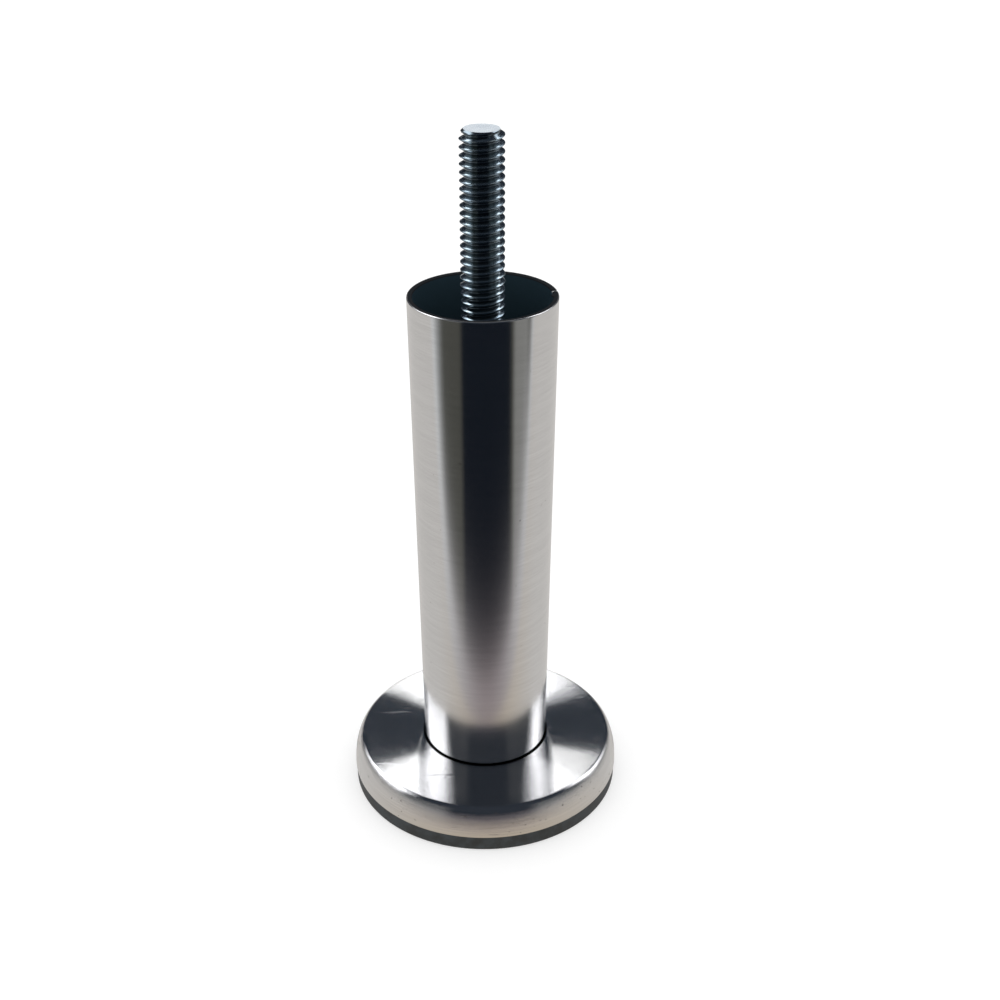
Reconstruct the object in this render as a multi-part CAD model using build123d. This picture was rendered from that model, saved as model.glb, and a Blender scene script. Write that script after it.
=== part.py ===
from build123d import *
from math import atan2, cos, radians, sqrt, tan
import os

# Screw-in furniture leg. A tapered sleeve stands on a round foot, and one long bolt
# runs up through both and on into the furniture.
# Millimetres, +Z up, origin on the floor under the middle of the foot.

# Whole leg
leg_height = 102.0
stud_projection = 29.0

# Tapered sleeve
tube_top_diameter = 26.7
tube_foot_diameter = 24.3
tube_wall = 1.0
rim_chamfer = 0.25
tube_foot_chamfer = 0.3
bead_radius = 0.8
bead_rise = 0.4
bead_angle = 1.0
notch_angle = 11.0
notch_width = 1.1
notch_depth = 0.9

# Stamped cover
cover_diameter = 52.8
cover_height = 6.2
cover_sheet = 0.8
cover_lean = 0.7
cover_corner = 2.5
boss_height = 1.85
boss_taper = 1.2
boss_clearance = 0.1

# Moulded pad
pad_overhang = 0.15
pad_flange_height = 3.1
pad_edge_chamfer = 0.5
pad_recess_diameter = 34.0
pad_recess_depth = 0.6
groove_count = 3
groove_width = 0.6
groove_depth = 0.4
groove_spacing = 2.2
plug_gap = 0.45
plug_wall = 2.8
grip_rib_count = 18
grip_rib_width = 1.2
grip_rib_height = 3.2
grip_rib_clearance = 0.05
middle_ring_diameter = 35.0
middle_ring_wall = 1.6
web_count = 12
web_width = 1.6
hub_clearance = 0.5
web_overlap = 0.3
pocket_clearance = 0.1
pocket_depth_clearance = 0.15

# Bolt and clamping hardware
thread_diameter = 7.8
bolt_end_chamfer = 0.75
bolt_hole_clearance = 0.3
head_across_flats = 12.7
head_height = 5.2
hex_chamfer_angle = 30.0
hex_bearing_share = 0.94
washer_diameter = 17.5
washer_hole_clearance = 0.45
washer_thickness = 1.6
lock_ring_diameter = 14.6
lock_ring_thickness = 2.0
lock_ring_clearance = 0.2
lock_ring_gap = 0.9
lock_ring_slant = 25.0
nut_across_flats = 12.7
nut_height = 6.7
mating_thread_diameter = 7.0
mating_thread_clearance = 0.05
mating_thread_relief = 0.4

# Levels and radii that follow from the sizes above
cover_top = pad_flange_height + cover_height
cover_underside = cover_top - cover_sheet
boss_top = cover_top + boss_height
head_seat = boss_top - cover_sheet
stud_top = leg_height + stud_projection
washer_top = boss_top + washer_thickness
nut_seat = washer_top + lock_ring_thickness
nut_top = nut_seat + nut_height
thread_radius = thread_diameter / 2
cover_radius = cover_diameter / 2
cover_lean_angle = atan2(cover_lean, cover_height)
tube_foot_bore_radius = tube_foot_diameter / 2 - tube_wall
tube_top_bore_radius = tube_top_diameter / 2 - tube_wall
bead_inner_radius = tube_foot_bore_radius - bead_rise
boss_foot_radius = bead_inner_radius - boss_clearance
boss_taper_angle = atan2(boss_taper, boss_height)
pad_radius = cover_radius - pad_overhang
plug_inset = cover_sheet + plug_gap
cover_inner_corner = cover_corner - cover_sheet


def turned(corners):
    """Solid of revolution about Z from corners given as (radius, height, rounding)."""
    points = [(radius, 0, height) for radius, height, rounding in corners]
    roundings = [rounding for radius, height, rounding in corners]
    if any(roundings):
        border = FilletPolyline(*points, radius=roundings, close=True)
    else:
        border = Polyline(*points, close=True)
    return revolve(make_face(border), axis=Axis.Z)


def upright(radius, bottom, top):
    """Plain cylinder on the Z axis between two levels."""
    body = Cylinder(radius, top - bottom, align=(Align.CENTER, Align.CENTER, Align.MIN))
    return Pos(0, 0, bottom) * body


def ring(outer_radius, inner_radius, bottom, top):
    """Plain ring on the Z axis between two levels."""
    return upright(outer_radius, bottom, top) - upright(inner_radius, bottom, top)


def spokes(count, width, inner_radius, outer_radius, bottom, top):
    """Evenly spaced radial bars between two radii."""
    length = outer_radius - inner_radius
    bar = Box(length, width, top - bottom, align=(Align.MIN, Align.CENTER, Align.MIN))
    placed = Pos(inner_radius, 0, bottom) * bar
    return [Rot(0, 0, 360 * step / count) * placed for step in range(count)]


def cover_wall_radius(inset, height):
    """Radius of the cover's leaning wall, moved in by inset, at a height above the flange."""
    return cover_radius - inset / cos(cover_lean_angle) - height * tan(cover_lean_angle)


def boss_wall_radius(inset, height):
    """Radius of the boss's tapered wall, moved in by inset, at a height above the cover's top."""
    return boss_foot_radius - inset / cos(boss_taper_angle) - height * tan(boss_taper_angle)


def cover_skin(inset):
    """Solid under the cover's outer skin, with the skin moved in by inset."""
    top = cover_top - inset
    return turned([
        (0, pad_flange_height, 0),
        (cover_wall_radius(inset, 0), pad_flange_height, 0),
        (cover_wall_radius(inset, cover_height - inset), top, cover_corner - inset),
        (boss_wall_radius(inset, -inset), top, 0),
        (boss_wall_radius(inset, boss_height - inset), boss_top - inset, 0),
        (0, boss_top - inset, 0),
    ])


def make_base_cover():
    """Stamped cover: leaning wall, flat top and a raised boss that centres the sleeve."""
    sheet = cover_skin(0) - cover_skin(cover_sheet)
    return sheet - upright(thread_radius + bolt_hole_clearance, cover_underside, boss_top)


def tube_blank(inset):
    """Solid cone inside the sleeve's outer skin, from foot to rim."""
    return turned([
        (0, cover_top, 0),
        (tube_foot_diameter / 2 - inset, cover_top, 0),
        (tube_top_diameter / 2 - inset, leg_height, 0),
        (0, leg_height, 0),
    ])


def weld_bead():
    """Round bead along the inside of the seam, leaning with the sleeve's wall."""
    sunk = bead_radius - bead_rise
    foot = Vector(tube_foot_bore_radius + sunk, 0, cover_top)
    head = Vector(tube_top_bore_radius + sunk, 0, leg_height)
    run = head - foot
    bar = Cylinder(bead_radius, run.length, align=(Align.CENTER, Align.CENTER, Align.MIN))
    bead = Plane(origin=foot, z_dir=run.normalized()) * bar
    return Rot(0, 0, bead_angle) * bead


def rim_notch():
    """Small round-bottomed nick that the seam leaves in the rim."""
    reach = 3 * tube_wall
    root = leg_height - notch_depth + notch_width / 2
    drill = Pos(0, 0, root) * Rot(0, 90, 0) * Cylinder(notch_width / 2, reach)
    slot_height = leg_height - root + tube_wall
    slot = Pos(0, 0, root + slot_height / 2) * Box(reach, notch_width, slot_height)
    cutter = Pos(tube_top_diameter / 2 - tube_wall / 2, 0, 0) * (drill + slot)
    return Rot(0, 0, notch_angle) * cutter


def make_tube():
    """Tapered sleeve with chamfered edges, welded seam and the nick at its top."""
    slope = (tube_top_diameter - tube_foot_diameter) / 2 / (leg_height - cover_top)
    rim_drift = rim_chamfer * slope
    sleeve = turned([
        (tube_foot_bore_radius, cover_top, 0),
        (tube_foot_diameter / 2 - tube_foot_chamfer, cover_top, 0),
        (tube_foot_diameter / 2 + tube_foot_chamfer * slope, cover_top + tube_foot_chamfer, 0),
        (tube_top_diameter / 2 - rim_drift, leg_height - rim_chamfer, 0),
        (tube_top_diameter / 2 - rim_chamfer, leg_height, 0),
        (tube_top_bore_radius + rim_chamfer, leg_height, 0),
        (tube_top_bore_radius - rim_drift, leg_height - rim_chamfer, 0),
    ])
    sleeve += weld_bead() & tube_blank(tube_wall / 2)
    return sleeve - rim_notch()


def hex_bar(across_flats, bottom, top):
    """Hexagonal prism on the Z axis between two levels."""
    return Pos(0, 0, bottom) * extrude(RegularPolygon(across_flats / 2, 6, major_radius=False), top - bottom)


def chamfered_hex(across_flats, bottom, top, both_ends):
    """Hexagon whose corners are turned off at one end or both."""
    corner_radius = across_flats / sqrt(3)
    bearing_radius = hex_bearing_share * across_flats / 2
    drop = (corner_radius - bearing_radius) * tan(radians(hex_chamfer_angle))
    lower = [(bearing_radius, bottom, 0), (corner_radius, bottom + drop, 0)]
    upper = [(corner_radius, top - drop, 0), (bearing_radius, top, 0)]
    if not both_ends:
        upper = [(corner_radius, top, 0)]
    barrel = turned([(0, bottom, 0)] + lower + upper + [(0, top, 0)])
    return hex_bar(across_flats, bottom, top) & barrel


def make_bolt():
    """Hex-head bolt: shank at the thread's outside diameter, and where the nut grips at the mating diameter."""
    head = chamfered_hex(head_across_flats, head_seat - head_height, head_seat, both_ends=False)
    shank = turned([
        (0, head_seat, 0),
        (thread_radius, head_seat, 0),
        (thread_radius, nut_seat - mating_thread_relief, 0),
        (mating_thread_diameter / 2, nut_seat - mating_thread_relief, 0),
        (mating_thread_diameter / 2, nut_top + mating_thread_relief, 0),
        (thread_radius, nut_top + mating_thread_relief, 0),
        (thread_radius, stud_top - bolt_end_chamfer, 0),
        (thread_radius - bolt_end_chamfer, stud_top, 0),
        (0, stud_top, 0),
    ])
    return head + shank


def make_flat_washer():
    """Plain washer on the cover's boss."""
    return ring(washer_diameter / 2, thread_radius + washer_hole_clearance, boss_top, washer_top)


def make_lock_washer():
    """Split ring between the washer and the nut."""
    coil = ring(lock_ring_diameter / 2, thread_radius + lock_ring_clearance, washer_top, nut_seat)
    middle = (washer_top + nut_seat) / 2
    saw = Box(lock_ring_diameter / 2, lock_ring_gap, 3 * lock_ring_thickness)
    return coil - Pos(lock_ring_diameter / 2, 0, middle) * Rot(lock_ring_slant, 0, 0) * saw


def make_clamp_nut():
    """Hex nut that clamps the cover against the bolt's head."""
    body = chamfered_hex(nut_across_flats, nut_seat, nut_top, both_ends=True)
    return body - upright(mating_thread_diameter / 2 + mating_thread_clearance, nut_seat, nut_top)


def pad_plug():
    """Wall of the pad that fills the cover's mouth, with ribs that grip its inside."""
    foot = cover_wall_radius(plug_inset, 0)
    head = cover_wall_radius(plug_inset, cover_height - cover_sheet - cover_inner_corner)
    bore = foot - plug_wall
    wall = turned([
        (bore, pad_flange_height, 0),
        (foot, pad_flange_height, 0),
        (head, cover_underside - cover_inner_corner, 0),
        (head - cover_inner_corner, cover_underside, 0),
        (bore, cover_underside, 0),
    ])
    grip_inset = cover_sheet + grip_rib_clearance
    grip_top = pad_flange_height + grip_rib_height
    grip_band = turned([
        (bore, pad_flange_height, 0),
        (cover_wall_radius(grip_inset, 0), pad_flange_height, 0),
        (cover_wall_radius(grip_inset, grip_rib_height), grip_top, 0),
        (bore, grip_top, 0),
    ])
    rib_root = foot - plug_wall / 2
    bars = spokes(grip_rib_count, grip_rib_width, rib_root, cover_radius, pad_flange_height, grip_top)
    for bar in bars:
        wall += bar & grip_band
    return wall


def pad_core():
    """Hub, middle ring and radial webs that stiffen the pad under the cover."""
    hub_radius = boss_wall_radius(cover_sheet, boss_height - cover_sheet) - hub_clearance
    core = upright(hub_radius, pad_flange_height, head_seat - hub_clearance)
    middle_radius = middle_ring_diameter / 2
    core += ring(middle_radius, middle_radius - middle_ring_wall, pad_flange_height, cover_underside)
    web_start = hub_radius - web_overlap
    web_end = cover_wall_radius(plug_inset, 0) - plug_wall + web_overlap
    for web in spokes(web_count, web_width, web_start, web_end, pad_flange_height, cover_underside):
        core += web
    return core


def make_base_pad():
    """Moulded pad: visible ring, recessed underside and the pocket for the bolt's head."""
    pad = turned([
        (0, pad_recess_depth, 0),
        (pad_recess_diameter / 2, pad_recess_depth, 0),
        (pad_recess_diameter / 2, 0, 0),
        (pad_radius - pad_edge_chamfer, 0, 0),
        (pad_radius, pad_edge_chamfer, 0),
        (pad_radius, pad_flange_height, 0),
        (0, pad_flange_height, 0),
    ])
    for step in range(groove_count):
        inner = pad_recess_diameter / 2 + groove_spacing * (step + 1) - groove_width / 2
        pad -= ring(inner + groove_width, inner, 0, groove_depth)
    pad += pad_plug()
    pad += pad_core()
    pocket_floor = head_seat - head_height - pocket_depth_clearance
    return pad - hex_bar(head_across_flats + 2 * pocket_clearance, pocket_floor, boss_top)


makers = {
    "tube": make_tube,
    "base_cover": make_base_cover,
    "base_pad": make_base_pad,
    "bolt": make_bolt,
    "flat_washer": make_flat_washer,
    "lock_washer": make_lock_washer,
    "clamp_nut": make_clamp_nut,
}

os.makedirs("parts", exist_ok=True)
for name, make in makers.items():
    export_step(make(), f"parts/{name}.step")
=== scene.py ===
import math

import bmesh
import bpy
import numpy as np
from bpy.props import FloatProperty, FloatVectorProperty, IntProperty, PointerProperty
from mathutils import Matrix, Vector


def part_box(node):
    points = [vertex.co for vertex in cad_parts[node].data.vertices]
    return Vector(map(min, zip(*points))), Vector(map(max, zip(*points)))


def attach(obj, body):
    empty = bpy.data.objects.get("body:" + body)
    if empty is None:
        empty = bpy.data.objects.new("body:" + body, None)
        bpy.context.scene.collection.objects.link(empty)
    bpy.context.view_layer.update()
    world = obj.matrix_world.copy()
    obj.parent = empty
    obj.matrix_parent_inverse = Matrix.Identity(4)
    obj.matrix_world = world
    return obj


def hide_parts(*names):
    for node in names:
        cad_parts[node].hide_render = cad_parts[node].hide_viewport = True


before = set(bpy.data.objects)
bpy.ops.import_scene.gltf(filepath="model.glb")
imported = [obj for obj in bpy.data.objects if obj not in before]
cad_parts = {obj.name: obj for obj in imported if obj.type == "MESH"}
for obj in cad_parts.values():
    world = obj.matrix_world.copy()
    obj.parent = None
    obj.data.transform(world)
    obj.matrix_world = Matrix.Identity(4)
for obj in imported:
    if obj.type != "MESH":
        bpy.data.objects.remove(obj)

bl_info = {
    "name": "Furniture Leg",
    "version": (1, 0, 0),
    "blender": (4, 5, 0),
    "location": "3D View > Sidebar > Furniture Leg",
    "description": "Builds the looks of a screw-in furniture leg over its CAD parts",
    "category": "Object",
}

MM = 0.001
BODY = "root"
# A rounding has a short straight run at each end, and points this far apart.
GUARD = 0.06 * MM
ARC_STEP = math.radians(9)
# Head and nut bear on a round face, with their corners turned off at a slope.
BEARING_SHARE = 0.94
CORNER_BEVEL = math.radians(30)
# The sleeve's wall is cut finely, in degrees, where it has the bead and the nick.
SEAM_START, SEAM_END = -8.0, 18.0
SEAM_STEP, PLAIN_STEP = 0.4, 1.5
NICK_SIDE = 0.03
NICK_PULL = 3 * MM
# A thread's flank from crest to root, in shares of its pitch and its depth.
THREAD_FLANK = ((0.045, 0.01), (0.075, 0.06), (0.24, 0.50), (0.405, 0.93), (0.455, 1.0))
# Number of directions round the axis for each form.
COVER_SIDES, PAD_SIDES, RING_SIDES, HEX_SIDES, THREAD_SIDES = 240, 192, 96, 72, 64
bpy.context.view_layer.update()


def levels(node):
    """Lowest and highest level of a CAD node, in metres."""
    low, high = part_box(node)
    return low.z, high.z


def size(name, description, millimetres):
    """A length the user can change, with its default in millimetres."""
    return FloatProperty(
        name=name,
        description=description,
        default=millimetres * MM,
        min=0.0,
        precision=5,
        unit="LENGTH",
        subtype="DISTANCE",
    )


def share(name, description, value):
    """A share from 0 to 1 that the user can change."""
    return FloatProperty(
        name=name, description=description, default=value, min=0.0, max=1.0, subtype="FACTOR"
    )


def colour(name, description, value):
    """A colour that the user can change."""
    return FloatVectorProperty(
        name=name, description=description, default=value, min=0.0, max=1.0, subtype="COLOR"
    )


def angle(name, description, degrees):
    """An angle that the user can change, with its default in degrees."""
    return FloatProperty(
        name=name,
        description=description,
        default=math.radians(degrees),
        unit="ROTATION",
        subtype="ANGLE",
    )


class LegSizes(bpy.types.PropertyGroup):
    """Sizes of the pieces that stand for CAD parts."""

    sleeve_rim_diameter: size("Rim diameter", "Sleeve's outside at its rim", 26.7)
    sleeve_foot_diameter: size("Foot diameter", "Sleeve's outside at its foot", 24.3)
    sleeve_wall: size("Sleeve wall", "Thickness of the sleeve's wall", 1.0)
    rim_rounding: size("Rim rounding", "Rounding of the rim's edges", 0.22)
    foot_rounding: size("Foot rounding", "Rounding of the foot's outer edge", 0.4)
    bead_radius: size("Bead radius", "Radius of the weld bead inside the seam", 0.8)
    bead_rise: size("Bead rise", "How far the weld bead stands into the bore", 0.4)
    bead_angle: angle("Bead angle", "Direction of the weld bead", 1.0)
    nick_angle: angle("Nick angle", "Direction of the nick in the rim", 11.0)
    nick_width: size("Nick width", "Width of the nick in the rim", 1.1)
    nick_depth: size("Nick depth", "Depth of the nick in the rim", 0.9)
    cover_diameter: size("Cover diameter", "Cover's outside at its lower edge", 52.8)
    cover_sheet: size("Cover sheet", "Thickness of the cover's sheet", 0.8)
    shoulder_reach: size("Shoulder reach", "How far the cover's shoulder comes in", 2.07)
    shoulder_rise: size("Shoulder rise", "How far the cover's shoulder rises", 5.88)
    cover_edge: size("Cover edge", "Rounding of the cover's lower edge", 0.1)
    boss_foot: size("Boss foot", "Radius of the raised boss at its foot", 10.65)
    boss_head: size("Boss head", "Radius of the raised boss at its top", 9.45)
    boss_foot_rounding: size("Boss foot rounding", "Rounding at the foot of the boss", 0.08)
    boss_head_rounding: size("Boss head rounding", "Rounding at the top of the boss", 0.3)
    bolt_hole: size("Bolt hole", "Radius of the hole in the boss", 4.2)
    pad_overhang: size("Pad overhang", "How far the cover stands out past the pad", 0.15)
    pad_flange: size("Pad flange", "Height of the pad's lower ring", 3.1)
    pad_edge: size("Pad edge", "Rounding of the pad's lower edge", 0.5)
    recess_radius: size("Recess radius", "Radius of the recess under the pad", 17.0)
    recess_depth: size("Recess depth", "Depth of the recess under the pad", 0.6)
    groove_spacing: size("Groove spacing", "Distance between the grip grooves", 2.2)
    groove_width: size("Groove width", "Width of a grip groove", 0.6)
    groove_depth: size("Groove depth", "Depth of a grip groove", 0.4)
    groove_count: IntProperty(name="Grooves", description="Number of grip grooves", default=3, min=0)
    plug_gap: size("Plug gap", "Space between the plug and the cover", 0.45)
    plug_wall: size("Plug wall", "Thickness of the plug's wall", 2.8)
    rib_count: IntProperty(name="Grip ribs", description="Number of grip ribs on the plug", default=18)
    rib_width: size("Rib width", "Width of a grip rib", 1.2)
    rib_height: size("Rib height", "Height of a grip rib", 3.2)
    rib_gap: size("Rib gap", "Space between a grip rib and the cover", 0.05)
    web_count: IntProperty(name="Webs", description="Number of radial webs in the pad", default=12)
    web_width: size("Web width", "Thickness of a web", 1.6)
    ring_radius: size("Ring radius", "Outer radius of the pad's middle ring", 17.5)
    ring_wall: size("Ring wall", "Thickness of the pad's middle ring", 1.6)
    hub_radius: size("Hub radius", "Radius of the pad's hub", 8.5)
    pocket_flats: size("Pocket flats", "Width across flats of the head's pocket", 12.9)
    pocket_floor: size("Pocket floor", "Level of the pocket's floor", 5.0)
    thread_diameter: size("Thread diameter", "Bolt's outside diameter", 7.8)
    thread_pitch: size("Thread pitch", "Distance between the thread's turns", 1.411)
    thread_depth: size("Thread depth", "Depth of the thread", 0.85)
    bolt_chamfer: size("Bolt chamfer", "Chamfer at the bolt's end", 0.75)
    head_flats: size("Head flats", "Width across flats of the bolt's head", 12.7)
    head_height: size("Head height", "Height of the bolt's head", 5.2)
    nut_flats: size("Nut flats", "Width across flats of the clamp nut", 12.7)
    nut_gap: size("Nut gap", "Space between the nut's bore and the thread", 0.06)
    nut_countersink: size("Nut countersink", "Bevel at the ends of the nut's bore", 0.5)


class LegFinish(bpy.types.PropertyGroup):
    """Colours and surface values of the leg."""

    steel: colour("Steel", "Colour of the brushed steel", (0.70, 0.70, 0.70))
    specks: colour("Specks", "Colour of the specks in the steel", (0.30, 0.29, 0.28))
    # Painted shade in the joint where the sleeve stands on the cover, standing in for the dark gap there.
    painted_shade: colour("Painted shade", "Colour of the soil in the joint", (0.008, 0.008, 0.009))
    # Painted shade inside the sleeve, tinted teal as a painted sheen.
    bore: colour("Bore", "Colour of the sleeve's inside", (0.034, 0.062, 0.082))
    # Painted dark reflection on the rim's cut face.
    painted_rim_reflection: colour("Cut face", "Colour of the rim's cut face", (0.02, 0.022, 0.025))
    sleeve_roughness: share("Sleeve roughness", "Roughness of the sleeve", 0.13)
    sleeve_spread: share("Sleeve spread", "Spread of highlights across the brushing", 0.9)
    cover_roughness: share("Cover roughness", "Roughness of the foot's cover", 0.09)
    cover_spread: share("Cover spread", "Spread of highlights across the brushing", 0.3)
    zinc: colour("Zinc", "Colour of the bolt's plating", (0.40, 0.49, 0.54))
    zinc_roughness: share("Zinc roughness", "Roughness of the bolt's plating", 0.17)
    rubber: colour("Rubber", "Colour of the pad", (0.030, 0.036, 0.040))
    rubber_roughness: share("Rubber roughness", "Roughness of the pad", 0.6)


class LegStage(bpy.types.PropertyGroup):
    """Camera, floor and light around the leg."""

    camera_place: FloatVectorProperty(
        name="Camera place",
        description="Where the camera stands",
        default=(0.0030, -0.2421, 0.1894),
        subtype="TRANSLATION",
        unit="LENGTH",
    )
    camera_tilt: angle("Camera tilt", "How far the camera looks down", 27.816)
    camera_lens: FloatProperty(
        name="Lens", description="Focal length in millimetres", default=52.73, min=1.0
    )
    floor_radius: size("Floor radius", "Radius of the pale floor", 1500)
    floor_middle: size("Floor middle", "Radius of the floor's middle part", 300)
    ambient: FloatProperty(
        name="Ambient", description="Strength of the soft light all round", default=1.0, min=0.0
    )


def rounded(corners, closed=True, step=ARC_STEP):
    """Outline through (radius, height, rounding) corners, with arcs between guard points."""
    points = []
    count = len(corners)
    for index, (radius, height, rounding) in enumerate(corners):
        corner = np.array([radius, height])
        at_end = not closed and index in (0, count - 1)
        if rounding <= 0 or at_end:
            points.append(corner)
            continue
        before = np.array(corners[index - 1][:2]) - corner
        after = np.array(corners[(index + 1) % count][:2]) - corner
        before /= np.linalg.norm(before)
        after /= np.linalg.norm(after)
        opening = math.acos(max(-1.0, min(1.0, float(before @ after))))
        reach = rounding / math.tan(opening / 2)
        middle = (before + after) / np.linalg.norm(before + after)
        centre = corner + middle * rounding / math.sin(opening / 2)
        start = corner + before * reach - centre
        turn = math.pi - opening
        side = np.sign(before[0] * after[1] - before[1] * after[0])
        steps = max(3, math.ceil(turn / step))
        points.append(corner + before * (reach + GUARD))
        for step_index in range(steps + 1):
            swing = -side * turn * step_index / steps
            cosine, sine = math.cos(swing), math.sin(swing)
            turned = np.array([
                start[0] * cosine - start[1] * sine,
                start[0] * sine + start[1] * cosine,
            ])
            points.append(centre + turned)
        points.append(corner + after * (reach + GUARD))
    return np.array(points)


def divided(outline, longest, closed=True):
    """The outline with long straight runs cut into shorter ones."""
    points = []
    last = len(outline) if closed else len(outline) - 1
    for index in range(last):
        start, end = outline[index], outline[(index + 1) % len(outline)]
        pieces = max(1, math.ceil(np.linalg.norm(end - start) / longest))
        for piece in range(pieces):
            points.append(start + (end - start) * piece / pieces)
    if not closed:
        points.append(outline[-1])
    return np.array(points)


def even_angles(count):
    """Directions evenly round the axis."""
    return np.arange(count) * 2 * math.pi / count


def lathe(outline, angles, closed=True, reshape=None):
    """Vertices and faces of an outline of (radius, height) turned round the axis."""
    rows, columns = len(outline), len(angles)
    radius = np.repeat(outline[:, 0][:, None], columns, axis=1)
    height = np.repeat(outline[:, 1][:, None], columns, axis=1)
    if reshape:
        radius, height = reshape(radius, height, angles[None, :])
    spots = np.stack([radius * np.cos(angles), radius * np.sin(angles), height], axis=2)
    faces = []
    for row in range(rows if closed else rows - 1):
        upper = (row + 1) % rows
        for column in range(columns):
            beside = (column + 1) % columns
            faces.append((
                row * columns + column,
                row * columns + beside,
                upper * columns + beside,
                upper * columns + column,
            ))
    return spots.reshape(-1, 3), faces


def block(inner, outer, width, bottom, top, direction):
    """Radial bar between two radii, turned to a direction."""
    spots = np.array([
        [along, across, height]
        for height in (bottom, top)
        for along, across in (
            (inner, -width / 2),
            (outer, -width / 2),
            (outer, width / 2),
            (inner, width / 2),
        )
    ])
    cosine, sine = math.cos(direction), math.sin(direction)
    turned = spots @ np.array([[cosine, sine, 0], [-sine, cosine, 0], [0, 0, 1]])
    faces = [(3, 2, 1, 0), (4, 5, 6, 7), (0, 1, 5, 4), (1, 2, 6, 5), (2, 3, 7, 6), (3, 0, 4, 7)]
    return turned, faces


def hex_reach(flats, angles):
    """Distance from the axis to a hexagon's side in each direction."""
    sector = math.pi / 3
    offset = np.mod(angles + sector / 2, sector) - sector / 2
    return flats / 2 / np.cos(offset)


def joined(*shells):
    """Several shells of vertices and faces as one."""
    spots, faces, start = [], [], 0
    for shell_spots, shell_faces in shells:
        spots.append(shell_spots)
        faces += [tuple(corner + start for corner in face) for face in shell_faces]
        start += len(shell_spots)
    return np.concatenate(spots), faces


def shoulder(sizes, inset, top, step=3):
    """Corners up the cover's elliptical shoulder, moved in by inset, a few degrees apart."""
    reach, rise = sizes.shoulder_reach - inset, sizes.shoulder_rise - inset
    middle = sizes.cover_diameter / 2 - sizes.shoulder_reach
    foot = top - sizes.shoulder_rise
    return [
        (middle + reach * math.cos(turn), foot + rise * math.sin(turn), 0)
        for turn in np.radians(np.arange(0, 90.1, step))
    ]


def shoulder_radius(sizes, inset, top, level):
    """Radius of the cover's shoulder, moved in by inset, at a level."""
    reach, rise = sizes.shoulder_reach - inset, sizes.shoulder_rise - inset
    height = (level - top + sizes.shoulder_rise) / rise
    return sizes.cover_diameter / 2 - sizes.shoulder_reach + reach * math.sqrt(1 - height**2)


def hexagon(flats, both_ends, middle):
    """Reshape for lathe that makes outer rows a hexagon whose corners are turned off."""
    bearing = BEARING_SHARE * flats / 2

    def reshape(radius, height, angles):
        reach = hex_reach(flats, angles)
        outer = radius > bearing * 1.01  # rows outside the bearing face
        drop = np.clip(reach - bearing, 0, None) * math.tan(CORNER_BEVEL)
        lower = outer & (height < middle)
        upper = outer & (height > middle) & both_ends
        height = height + np.where(lower, drop, 0) - np.where(upper, drop, 0)
        return np.where(outer, reach, radius), height

    return reshape


def weld(work_mesh):
    """Joins points that lie on each other, and drops the faces that vanish."""
    bmesh.ops.remove_doubles(work_mesh, verts=work_mesh.verts, dist=1e-7)


def make_piece(name, shell, material, node, sharp=35, work=None, face_level=None):
    """Makes one piece of the leg, which stands for a CAD node and rides on the leg.

    Edges that turn by more than sharp degrees, or lie in a flat face at face_level, stay crisp.
    """
    spots, faces = shell
    mesh = bpy.data.meshes.new(name)
    mesh.from_pydata(spots.tolist(), [], faces)
    work_mesh = bmesh.new()
    work_mesh.from_mesh(mesh)
    if work:
        work(work_mesh)
    bmesh.ops.recalc_face_normals(work_mesh, faces=work_mesh.faces)
    limit = math.radians(sharp)
    for edge in work_mesh.edges:
        at_face = face_level and all(abs(spot.co.z - face_level) < 1e-6 for spot in edge.verts)
        edge.smooth = not at_face and edge.calc_face_angle(0.0) < limit
    for face in work_mesh.faces:
        face.smooth = True
    work_mesh.to_mesh(mesh)
    work_mesh.free()
    mesh.materials.append(material)
    piece = bpy.data.objects.new(name, mesh)
    bpy.context.scene.collection.objects.link(piece)
    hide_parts(node)
    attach(piece, BODY)


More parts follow.
